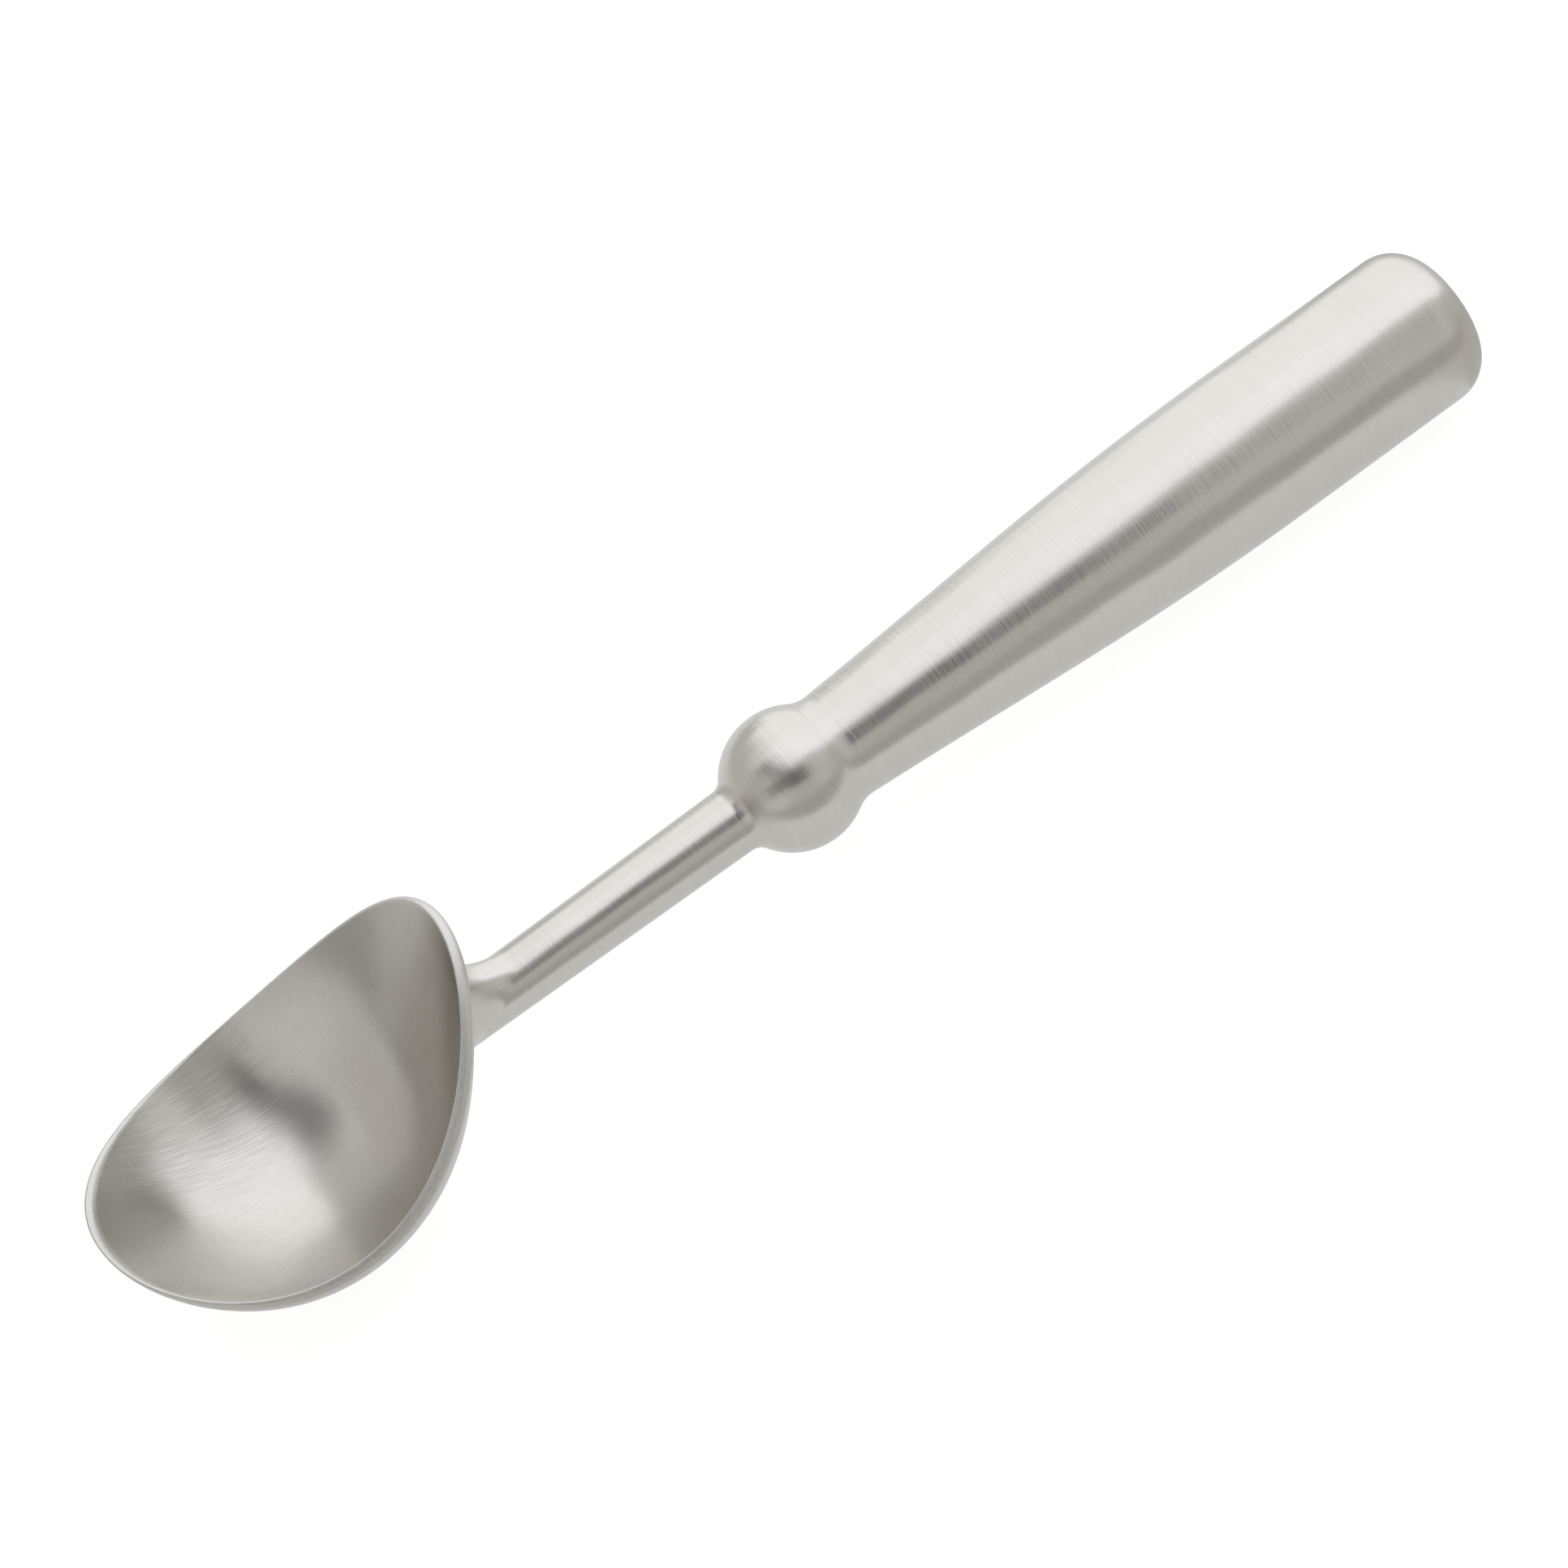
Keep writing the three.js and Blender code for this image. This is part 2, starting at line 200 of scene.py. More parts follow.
def round_grid(x, radius):
    """Points round the axis: angle a gives (x, radius cos a, radius sin a)."""
    return np.stack(np.broadcast_arrays(x, radius * ROUND_Y, radius * ROUND_Z), -1)


def round_uv(length):
    """Unwrapped places on a round grid: the way along the profile in mm, and the turn from 0 to 1."""
    turn = np.linspace(0, 1, AROUND + 1)
    return np.stack(np.broadcast_arrays(length[:, None], turn[None, :]), -1)


def turned(name, profile, closed=True):
    """A profile of (x, radius) carried round the axis, unwrapped by the profile's own length."""
    ends = np.concatenate([profile, profile[:1]])
    length = np.concatenate([[0], np.linalg.norm(np.diff(ends, axis=0), axis=1).cumsum()])
    return skin(name, round_grid(profile[:, :1], profile[:, 1:]), round_uv(length), closed)


print("rows kept close to a seam at", SEAM_STEP, "of each stretch")

# %% [markdown]
# ## Handle
# The handle is a thin tube that swells from a waist behind the ball to its fattest place about two thirds
# of the way along, and then runs almost level. A Bezier curve has just that shape: its first handle sets
# the slope of the taper, and its second one lies level at the grip. The bore follows at one wall's depth.

# %% Handle's front joint
CLEARANCE = 0.3
BALL_RADIUS = 9.0
REAR_FILLET = 4.5
WAIST_RADIUS = 7.1
TAPER_SLOPE = 0.058


def ball_fillet(rod_radius, fillet):
    """Concave circle that touches the ball and a rod: its centre's x and radius, and the angle to it."""
    radius = rod_radius + fillet
    x = math.sqrt((BALL_RADIUS + fillet) ** 2 - radius**2)
    return x, radius, math.atan2(radius, x)


WAIST_X, WAIST_FILLET_RADIUS, WAIST_ANGLE = ball_fillet(WAIST_RADIUS, REAR_FILLET)
TAPER_ANGLE = math.atan(TAPER_SLOPE)
JOINT_X = WAIST_X + REAR_FILLET * math.sin(TAPER_ANGLE)
JOINT_RADIUS = WAIST_FILLET_RADIUS - REAR_FILLET * math.cos(TAPER_ANGLE)
print("joint of ball and handle, x and radius in mm:", round(JOINT_X, 2), round(JOINT_RADIUS, 2))

# %% Handle tube
GRIP_RADIUS = 10.45
BUTT_RADIUS = 10.38
GRIP_DISTANCE = 71.0
TAPER_PULL = 22.8
GRIP_PULL = 25.0
TUBE_WALL = 1.2
BUTT_ROUND = 5.5
CAP_SKIRT = 4.0
TAPER_ROWS = 120
GRIP_ROWS = 24
BUTT_ROUND_START = BUTT_DISTANCE - BUTT_ROUND
CAP_START = BUTT_ROUND_START - CAP_SKIRT


def bezier(points, count):
    """Cubic Bezier from the first of four points to the last, pulled by the two between.

    It is the sum of the points, each weighted by one of four polynomials in the share t.
    """
    p, q, r, s = (np.array(point) for point in points)
    t = stations(count).reshape(-1, *[1] * p.ndim)
    return (1 - t) ** 3 * p + 3 * (1 - t) ** 2 * t * q + 3 * (1 - t) * t**2 * r + t**3 * s


taper_points = (
    (JOINT_X, JOINT_RADIUS),
    (JOINT_X + TAPER_PULL, JOINT_RADIUS + TAPER_PULL * TAPER_SLOPE),
    (GRIP_DISTANCE - GRIP_PULL, GRIP_RADIUS),
    (GRIP_DISTANCE, GRIP_RADIUS),
)
grip = line((GRIP_DISTANCE, GRIP_RADIUS), (CAP_START, BUTT_RADIUS), GRIP_ROWS)
tube_outside = chain(bezier(taper_points, TAPER_ROWS), grip)
tube_inside = tube_outside[::-1] - [0, TUBE_WALL]
handle = turned("handle", chain(tube_outside, tube_inside))
stand_in(handle, "handle_tube")

# %% [markdown]
# ## Butt
# The handle is closed by a pressed cap with a generous round and a small flat, which the scoop can stand
# on. Its inside follows at the same wall, with fewer rows, because nobody sees it.

# %% Butt cap
SKIRT_ROWS = 6
ROUND_ROWS = 36
FLAT_ROWS = 12
INNER_SKIRT_ROWS = 2
INNER_ROUND_ROWS = 18
INNER_FLAT_ROWS = 4
flat_radius = BUTT_RADIUS - BUTT_ROUND
butt_corner = (BUTT_ROUND_START, flat_radius)
bore_radius = BUTT_RADIUS - TUBE_WALL
bore_end = BUTT_DISTANCE - TUBE_WALL

butt_outside = chain(
    line((CAP_START, BUTT_RADIUS), (BUTT_ROUND_START, BUTT_RADIUS), SKIRT_ROWS),
    arc(butt_corner, BUTT_ROUND, math.pi / 2, 0, ROUND_ROWS),
    line((BUTT_DISTANCE, flat_radius), (BUTT_DISTANCE, 0), FLAT_ROWS),
)
butt_inside = chain(
    line((bore_end, 0), (bore_end, flat_radius), INNER_FLAT_ROWS),
    arc(butt_corner, BUTT_ROUND - TUBE_WALL, 0, math.pi / 2, INNER_ROUND_ROWS),
    line((BUTT_ROUND_START, bore_radius), (CAP_START, bore_radius), INNER_SKIRT_ROWS),
    line((CAP_START, bore_radius), (CAP_START, BUTT_RADIUS)),
)
butt = turned("butt_cap", chain(butt_outside, butt_inside), closed=False)
stand_in(butt, "end_cap")

# %% [markdown]
# ## Ball
# The ball hides the place where the neck's tang enters the handle. It runs into both neighbours with a
# concave round. A circle that touches both the ball and the rod gives each round without any trial.

# %% Ball collar
NECK_BALL_RADIUS = 4.25
FRONT_FILLET = 2.2
TANG_RADIUS = 3.0
SPIGOT_LENGTH = 6.0
FILLET_ROWS = 24
BALL_ROWS = 96
NECK_X, NECK_FILLET_RADIUS, NECK_ANGLE = ball_fillet(NECK_BALL_RADIUS, FRONT_FILLET)
tang_bore = TANG_RADIUS + CLEARANCE
spigot_radius = WAIST_RADIUS - TUBE_WALL - CLEARANCE
spigot_end = WAIST_X + SPIGOT_LENGTH
front_centre = (-NECK_X, NECK_FILLET_RADIUS)
rear_centre = (WAIST_X, WAIST_FILLET_RADIUS)

ball_profile = chain(
    line((-NECK_X, tang_bore), (-NECK_X, NECK_BALL_RADIUS)),
    arc(front_centre, FRONT_FILLET, -math.pi / 2, -NECK_ANGLE, FILLET_ROWS),
    arc((0, 0), BALL_RADIUS, math.pi - NECK_ANGLE, WAIST_ANGLE, BALL_ROWS),
    arc(rear_centre, REAR_FILLET, WAIST_ANGLE - math.pi, TAPER_ANGLE - math.pi / 2, FILLET_ROWS),
    line((JOINT_X, JOINT_RADIUS), (JOINT_X, spigot_radius)),
    line((JOINT_X, spigot_radius), (spigot_end, spigot_radius)),
    line((spigot_end, spigot_radius), (spigot_end, tang_bore)),
)
ball = turned("ball", ball_profile)
stand_in(ball, "ball_collar")

# %% [markdown]
# ## Bowl
# The bowl is a sheet that was pressed to a shallow dish and turned up into a wall near its edge. The rim
# is cut on a slant: high at the back, where it meets the neck, low along the sides, and thin at the tip.
# It could be sculpted from half a ball, but one formula keeps its sizes at hand. It gives the inside,
# from the deepest place (share 0) to the rim (share 1). The outside lies at the sheet's thickness along
# the surface's own normal.

# %% Bowl surface
BOWL_LENGTH = 53.0
BOWL_WIDTH = 43.2
FRONT_FULLNESS = 0.06
NECK_REACH = 47.3
RIM_TIP_HEIGHT = 3.3
RIM_SIDE_HEIGHT = 0.1
RIM_REAR_HEIGHT = 17.8
RIM_KICK = 1.9
FLOOR_DROP = 12.6
FLOOR_SHIFT = 2.4
DISH_RISE_ALONG = 13.7
DISH_RISE_ACROSS = 10.6
WALL_POWER_SIDE = 7.0
WALL_POWER_REAR = 5.0
WALL_POWER_TIP = 3.0
BOWL_MIDDLE = -NECK_REACH - BOWL_LENGTH / 2
FLOOR_X = BOWL_MIDDLE - FLOOR_SHIFT


def by_end(along, side, rear, tip):
    """The side's value turning into the rear's or the tip's with the square of the cosine."""
    return side + (np.where(along > 0, rear, tip) - side) * along**2


def bowl_inside(angle, share):
    """Inside of the bowl. An angle of 0 is the rear of the rim and half a turn is the tip.

    The rim is an oval whose height is a cubic in the cosine of the angle. A point lies on the straight
    plan line from the deepest place to the rim; its height is a dish that grows with the share squared
    plus a wall that grows with a high power of the share.
    """
    along = np.cos(angle)
    power = by_end(along, WALL_POWER_SIDE, WALL_POWER_REAR, WALL_POWER_TIP)
    lean = (RIM_REAR_HEIGHT - RIM_TIP_HEIGHT) / 2
    sweep = (RIM_REAR_HEIGHT + RIM_TIP_HEIGHT) / 2 - RIM_SIDE_HEIGHT
    rim_z = RIM_SIDE_HEIGHT + lean * along + sweep * along**2 + RIM_KICK * (along**3 - along)
    rim_y = BOWL_WIDTH / 2 * (1 - FRONT_FULLNESS * along) * np.sin(angle)
    reach = BOWL_MIDDLE + BOWL_LENGTH / 2 * along - FLOOR_X
    dish = DISH_RISE_ALONG * (reach / (BOWL_LENGTH / 2)) ** 2
    dish = dish + DISH_RISE_ACROSS * (rim_y / (BOWL_WIDTH / 2)) ** 2
    wall = rim_z + FLOOR_DROP - dish
    z = -FLOOR_DROP + dish * share**2 + wall * share**power
    return np.stack(np.broadcast_arrays(FLOOR_X + reach * share, rim_y * share, z), -1)


print("bowl inside depth in mm:", round(RIM_SIDE_HEIGHT + FLOOR_DROP, 2))

# %% Bowl thickness
FLOOR_WALL = 1.8
RIM_WALL_TIP = 0.6
RIM_WALL_SIDE = 1.6
RIM_WALL_REAR = 1.5
NORMAL_STEP = 1e-4


def unit(vectors):
    """Vectors divided by their own lengths."""
    return vectors / np.linalg.norm(vectors, axis=-1, keepdims=True)


def bowl_outward(angle, share):
    """Direction from the inside of the sheet to its outside: the cross product of its two slopes."""
    share = np.maximum(share, 2 * NORMAL_STEP)
    around = bowl_inside(angle + NORMAL_STEP, share) - bowl_inside(angle - NORMAL_STEP, share)
    upward = bowl_inside(angle, share + NORMAL_STEP) - bowl_inside(angle, share - NORMAL_STEP)
    return unit(np.cross(around, upward))


def rim_wall(angle):
    """Thickness of the sheet at the rim, thinnest at the tip."""
    return by_end(np.cos(angle), RIM_WALL_SIDE, RIM_WALL_REAR, RIM_WALL_TIP)


def bowl_outside(angle, share):
    """Outside of the bowl: the inside plus the normal times a thickness that goes from floor to rim."""
    thickness = FLOOR_WALL + (rim_wall(angle) - FLOOR_WALL) * share**2
    return bowl_inside(angle, share) + bowl_outward(angle, share) * thickness[..., None]


print("sheet in mm: floor", FLOOR_WALL, "side", RIM_WALL_SIDE, "rear", RIM_WALL_REAR, "tip", RIM_WALL_TIP)

# %% [markdown]
# The cut edge is as wide as the sheet is thick. It was dressed from the outside: the outer corner is a
# large round that leaves only a narrow strip, and the inner corner is just deburred, so it catches the
# light as a thin bright line. At the tip, which digs into the ice cream, the inner round reaches further
# down and shows as a soft bright band. A bevel modifier would give one width all round, so the two
# rounds are worked out as quarter ellipses whose sizes change with the angle.

# %% Bowl edge
BOWL_AROUND = 360
EDGE_ROWS = 10
INNER_EDGE = 0.2
INNER_EDGE_TIP = 0.36
INNER_DROP_TIP = 1.6  # how far the round at the tip goes down the inside
OUTER_EDGE = 1.05
OUTER_SHARE = 0.75  # most of the remaining thickness that the outer round may take

angle = np.linspace(0, 2 * math.pi, BOWL_AROUND, endpoint=False)[None, :]
rim_inside = bowl_inside(angle, 1.0)
rim_out = bowl_outward(angle, 1.0)
up_the_wall = rim_inside - bowl_inside(angle, 1 - NORMAL_STEP)
wall_speed = np.linalg.norm(up_the_wall, axis=-1) / NORMAL_STEP
thickness = rim_wall(angle)
inner_round = by_end(np.cos(angle), INNER_EDGE, INNER_EDGE, INNER_EDGE_TIP)
inner_drop = by_end(np.cos(angle), INNER_EDGE, INNER_EDGE, INNER_DROP_TIP)
outer_round = np.minimum(OUTER_EDGE, OUTER_SHARE * (thickness - inner_round))

quarter = np.linspace(0, math.pi / 2, EDGE_ROWS + 2)[1:, None]
across = np.concatenate([
    inner_round * (1 - np.cos(quarter)),
    thickness - outer_round * (1 - np.sin(quarter[:-1])),
])
below = np.concatenate([
    inner_drop * (1 - np.sin(quarter)),
    outer_round * (1 - np.cos(quarter[:-1])),
])
edge = rim_inside + rim_out * across[..., None] - unit(up_the_wall) * below[..., None]
print("outer round in mm, from", outer_round.min().round(2), "to", outer_round.max().round(2))

# %% [markdown]
# The rows of the bowl's grid run up the inside, over the small round, along the strip, over the large
# round and down the outside. The bowl's scratches run along it and fan out a little, as if from a place
# beyond the tip. The map named brush holds the ways across and along them. The rows of the cut edge get
# a second material.

# %% Bowl mesh
BOWL_ROWS = 72
FAN_CENTRE = (-158.0, 25.0)  # unrolled place from which the scratches in the bowl fan out
FAN_REACH = 86.0  # distance from there to the middle of the bowl
UNROLL = 0.02  # how much longer the way across gets for each mm of height


def scratch_uv(grid):
    """Ways across and along the scratches, in mm: the angle and the distance seen from the fan's centre.

    The wall is unrolled first, by a y that grows with the height above the bowl's floor.
    """
    whole = np.concatenate([grid, grid[:, :1]], axis=1)
    unrolled_y = whole[..., 1] * (1 + UNROLL * (whole[..., 2] + FLOOR_DROP))
    fan_x = whole[..., 0] - FAN_CENTRE[0]
    fan_y = unrolled_y - FAN_CENTRE[1]
    return np.stack([FAN_REACH * np.arctan2(fan_y, fan_x), np.hypot(fan_x, fan_y)], -1)


rise = np.sin(np.linspace(0, math.pi / 2, BOWL_ROWS))[:, None]
inside = bowl_inside(angle, rise * (1 - inner_drop / wall_speed))
outside = bowl_outside(angle, rise[::-1] * (1 - outer_round / wall_speed))
bowl_grid = np.concatenate([inside, edge, outside])
rim_rows = np.zeros(len(bowl_grid) - 1)
rim_rows[BOWL_ROWS + EDGE_ROWS // 2 : BOWL_ROWS + len(edge)] = 1
bowl = skin("bowl_shell", bowl_grid, scratch_uv(bowl_grid), finish=rim_rows)
stand_in(bowl, "bowl")

# %% [markdown]
# ## Neck and weld
# The neck is a slightly tapered bar, welded to the bowl's back. To end on that curved back, the script
# needs the x of the outside for a given y and z. Newton's method finds it for all points at once: guess
# the angle and share, measure the miss, and step along the slopes until the miss is gone.

# %% Bowl back
NEWTON_STEPS = 8
SLOPE_STEP = 1e-3
BACK_START = 0.5  # share from which the first guess looks up the back
BACK_GUESSES = 200


def bowl_back(y, z):
    """Point of the bowl's outside with this y and z, found by Newton steps in angle and share."""
    shares = np.linspace(BACK_START, 1.0, BACK_GUESSES)
    heights = bowl_outside(np.zeros_like(shares), shares)[:, 2]
    share = np.interp(z, heights, shares)
    turn = y / (BOWL_WIDTH / 2)
    for _ in range(NEWTON_STEPS):
        here = bowl_outside(turn, share)
        by_turn = (bowl_outside(turn + SLOPE_STEP, share) - here) / SLOPE_STEP
        by_share = (bowl_outside(turn, share + SLOPE_STEP) - here) / SLOPE_STEP
        miss_y = y - here[..., 1]
        miss_z = z - here[..., 2]
        size = by_turn[..., 1] * by_share[..., 2] - by_turn[..., 2] * by_share[..., 1]
        turn = turn + (miss_y * by_share[..., 2] - miss_z * by_share[..., 1]) / size
        share = share + (miss_z * by_turn[..., 1] - miss_y * by_turn[..., 2]) / size
    return bowl_outside(turn, share)


def back_x(radius):
    """The x of the bowl's back all round the axis, at one radius or at one for each direction."""
    return bowl_back(radius * ROUND_Y, radius * ROUND_Z)[:, 0]


print("bowl's back on the axis, x in mm:", back_x(0.0)[0].round(2))

# %% [markdown]
# The bar ends where the weld begins, and the weld reaches further on the upper side, where the bowl's
# back leans over the neck. So the bar's front end is no flat circle, and a plain cylinder won't do. Under
# the weld it steps down to a thinner core, so that the two skins never lie in one another.

# %% Neck
NECK_BOWL_RADIUS = 3.87
NECK_ROWS = 60
BUSH_LENGTH = 12.0
TANG_BEYOND = 5.0
TANG_END = spigot_end + CLEARANCE + BUSH_LENGTH + TANG_BEYOND
FLARE_ALONG = 6.0  # reach of the flare along the neck
FLARE_ALONG_UP = 4.0  # more of it on the upper side, less on the lower one
CORE_STEP = 0.6  # how far the neck steps down under the flare
CORE_RADIUS = NECK_BOWL_RADIUS - CORE_STEP

level = np.ones(AROUND)
core_foot = back_x(CORE_RADIUS)
flare_start = back_x(NECK_BOWL_RADIUS) + FLARE_ALONG + FLARE_ALONG_UP * ROUND_Z


def neck_radius(x):
    """Radius of the bar, a straight taper from the bowl to the ball."""
    share = (x + NECK_REACH) / (NECK_REACH - NECK_X)
    return NECK_BOWL_RADIUS + share * (NECK_BALL_RADIUS - NECK_BOWL_RADIUS)


def neck_rows():
    """Rows of (x, radius) round the bar: the hidden core, the bar's skin, the shoulder and the tang."""
    share = stations(NECK_ROWS)[:, None]
    skin_x = flare_start * (1 - share) - NECK_X * share
    x = np.concatenate([
        [core_foot.mean() * level, core_foot, flare_start],
        skin_x,
        [-NECK_X * level, TANG_END * level, TANG_END * level],
    ])
    radius = np.concatenate([
        [0 * level, CORE_RADIUS * level, CORE_RADIUS * level],
        neck_radius(skin_x),
        [TANG_RADIUS * level, TANG_RADIUS * level, 0 * level],
    ])
    return x, radius


neck_x, neck_r = neck_rows()
neck = skin("neck_bar", round_grid(neck_x, neck_r), round_uv(neck_x.mean(1) - neck_x.min()))
stand_in(neck, "neck")

# %% [markdown]
# The weld is dressed to a smooth concave flare. In every plane through the axis it is a Bezier curve
# that leaves the neck level and comes down on the bowl's back, just under its skin, so that no gap shows.

# %% Weld flare
FLARE_ROWS = 40
FLARE_OUT = 4.2  # reach of the flare up the bowl's back
FLARE_OUT_UP = 3.4  # more of it on the upper side, less on the lower one
FLARE_SINK = 0.05  # how far the flare's edge goes into the bowl's skin
FLARE_PULL_NECK = 0.42  # length of the curve's first handle as a share of its reach
FLARE_PULL_BOWL = 0.55  # and of its second one

start_radius = neck_radius(flare_start)
edge_radius = NECK_BOWL_RADIUS + FLARE_OUT + FLARE_OUT_UP * ROUND_Z
flare_from = np.stack([flare_start, start_radius], -1)
flare_to = np.stack([back_x(edge_radius) - FLARE_SINK, edge_radius], -1)
flare_corner = np.stack([back_x(start_radius), start_radius], -1)
pull_from = flare_from + FLARE_PULL_NECK * (flare_corner - flare_from)
pull_to = flare_to + FLARE_PULL_BOWL * (flare_corner - flare_to)
flare_curve = bezier((flare_from, pull_from, pull_to, flare_to), FLARE_ROWS)
flare_core = np.stack([core_foot, CORE_RADIUS * level], -1)
flare_shoulder = np.stack([flare_start, CORE_RADIUS * level], -1)
flare_rows = np.concatenate([flare_curve, flare_core[None], flare_shoulder[None]])
flare_x = flare_rows[..., 0]
flare_length = np.concatenate([flare_x.mean(1), flare_x[:1].mean(1)])
flare_grid = round_grid(flare_x, flare_rows[..., 1])
weld = skin("weld_flare", flare_grid, round_uv(flare_length - flare_length.min()), rows_closed=True)
stand_in(weld, "bowl_weld")

# %% [markdown]
# ## Satin steel
# The scoop was brushed with a fine abrasive. Such a surface mirrors its surroundings, but smears them
# across the scratches. So the steel is a metal whose reflections are stretched at right angles to the
# brushing, with fine lines in its colour and as bump, and a slow, blotchy change of roughness from the
# hand work. Most patterns sit on Object coordinates, turned into the tool's own frame by one Mapping
# node; the bowl's scratches follow the map named brush. The helpers below each add one or two nodes.

# %% Node helpers
TOOL_PLACE = -TOOL_AXES @ BALL_CENTRE
NOISE_ROUGHNESS = 0.6
NOISE_BAND = (0.25, 0.75)  # nearly all of a noise lies between these two
MIX_SHARE = 0  # sockets of the Mix node where it mixes colours
MIX_FIRST = 6
MIX_SECOND = 7
MIX_COLOUR = 2


def add_node(tree, kind, settings=(), links=(), values=()):
    """One shader node: its settings, the sockets linked into it and the values typed into it."""
    node = tree.nodes.new(kind)
    for name, value in settings:
        setattr(node, name, value)
    for name, socket in links:
        tree.links.new(socket, node.inputs[name])
    for name, value in values:
        node.inputs[name].default_value = value
    return node


def tool_coordinates(tree):
    """Object coordinates turned and moved into the tool's frame, in metres."""
    place = add_node(tree, "ShaderNodeTexCoord").outputs["Object"]
    values = (("Rotation", (0, -TILT, 0)), ("Location", TOOL_PLACE))
    return add_node(tree, "ShaderNodeMapping", links=[("Vector", place)], values=values).outputs[0]


def stretched(tree, vector, scale, detail=3.0):
    """Noise on coordinates that are multiplied per axis, in waves per unit."""
    mapping = add_node(tree, "ShaderNodeMapping", links=[("Vector", vector)], values=[("Scale", scale)])
    links = [("Vector", mapping.outputs[0])]
    values = (("Scale", 1.0), ("Detail", detail), ("Roughness", NOISE_ROUGHNESS))
    return add_node(tree, "ShaderNodeTexNoise", links=links, values=values).outputs["Fac"]


def spread(tree, value, over=(0.0, 1.0), band=NOISE_BAND):
    """A value inside the band, spread evenly over the given range and held at its ends."""
    values = (("From Min", band[0]), ("From Max", band[1]), ("To Min", over[0]), ("To Max", over[1]))
    return add_node(tree, "ShaderNodeMapRange", links=[("Value", value)], values=values).outputs[0]


def bumped(tree, height, depth, strength=1.0, under=None):
    """A bump of this depth in metres, on top of another one if there is one."""
    links = [("Height", height)] + ([("Normal", under)] if under else [])
    values = (("Distance", depth), ("Strength", strength))
    return add_node(tree, "ShaderNodeBump", links=links, values=values).outputs[0]


def product(tree, first, second):
    """One value times another."""
    links = ((0, first), (1, second))
    return add_node(tree, "ShaderNodeMath", [("operation", "MULTIPLY")], links).outputs[0]


def between(tree, share, first, second):
    """A colour between two colours, typed in or linked, by a share from 0 to 1."""
    typed = []
    linked = [(MIX_SHARE, share)]
    for socket, colour in ((MIX_FIRST, first), (MIX_SECOND, second)):
        (typed if isinstance(colour, tuple) else linked).append((socket, colour))
    node = add_node(tree, "ShaderNodeMix", [("data_type", "RGBA")], linked, typed)
    return node.outputs[MIX_COLOUR]


print("node helpers for noise, ranges, bump and mixing")

# %% Steel helpers
def new_steel(name):
    """A plain metal: the material, its node tree and its shader."""
    material = bpy.data.materials.new(name)
    material.use_nodes = True
    tree = material.node_tree
    shader = tree.nodes["Principled BSDF"]
    shader.inputs["Metallic"].default_value = 1.0
    return material, tree, shader


def dress(tree, shader, colour, roughness, normal):
    """The metal's colour, roughness and bumped normal."""
    for name, socket in (("Base Color", colour), ("Roughness", roughness), ("Normal", normal)):
        tree.links.new(socket, shader.inputs[name])


def brush(tree, shader, anisotropy):
    """Reflections smeared along the first way of the map named brush, which crosses the brushing."""
    tangent = add_node(tree, "ShaderNodeTangent", [("direction_type", "UV_MAP"), ("uv_map", "brush")])
    tree.links.new(tangent.outputs[0], shader.inputs["Tangent"])
    shader.inputs["Anisotropic"].default_value = anisotropy


print("helpers for metal, its sockets and its brushing")

# %% [markdown]
# Handle, butt, ball, neck and weld were brushed while they turned, so their lines run round the axis. A
# noise that is squeezed along the axis draws them. Soft waves in the surface keep the long reflections
# from looking ruled.

# %% Turned steel
STEEL_DARK = (0.605, 0.587, 0.555, 1.0)
STEEL_LIGHT = (0.662, 0.643, 0.608, 1.0)
BRUSH_LINES = (2400.0, 60.0, 60.0)
LINE_CONTRAST = (0.2, 0.8)
LINE_DEPTH = 5e-5
LINE_STRENGTH = 0.6
BLOTCHES = (140.0, 220.0, 220.0)
WAVES = (55.0, 80.0, 80.0)
WAVE_DEPTH = 5e-4
TURNED_ROUGHNESS = (0.27, 0.32)
TURNED_ANISOTROPY = 0.75


def turned_steel(name):
    """Satin steel brushed round the axis: lines are short along x and long round it."""
    material, tree, shader = new_steel(name)
    place = tool_coordinates(tree)
    lines = stretched(tree, place, BRUSH_LINES, detail=2.0)
    blotches = stretched(tree, place, BLOTCHES)
    waves = stretched(tree, place, WAVES, detail=1.0)
    colour = between(tree, spread(tree, lines, LINE_CONTRAST), STEEL_DARK, STEEL_LIGHT)
    roughness = spread(tree, blotches, TURNED_ROUGHNESS)
    normal = bumped(tree, lines, LINE_DEPTH, LINE_STRENGTH, bumped(tree, waves, WAVE_DEPTH))
    dress(tree, shader, colour, roughness, normal)
    brush(tree, shader, TURNED_ANISOTROPY)
    return material


for name, pieces in (("handle_satin", (handle, butt)), ("stem_satin", (ball, neck, weld))):
    steel = turned_steel(name)
    for piece in pieces:
        piece.data.materials.append(steel)
    print(name, "on", [piece.name for piece in pieces])

# %% [markdown]
# The bowl is satin too, but use has left its mark: across the middle of the bowl run fine scratches, and
# on the far flank they show as light and dark hairlines. Three noises, squeezed across the scratches,
# give the brushing, the fine scratches and a few deep ones. They fade out at the borders of the worn
# place, which are set on the ways along and across the scratches.

# %% Worn place
WORN_FROM = 72.0  # the scratched place, on the unwrapped ways in mm
WORN_TO = 80.0
WORN_SIDE = -30.0
WORN_FADE = 12.0
HAIRLINE_SIDE = -12.0  # the flank on which hairlines show


def fade_in(tree, way, start):
    """1 from the start on, falling to 0 over the fade before it."""
    return spread(tree, way, band=(start - WORN_FADE, start))


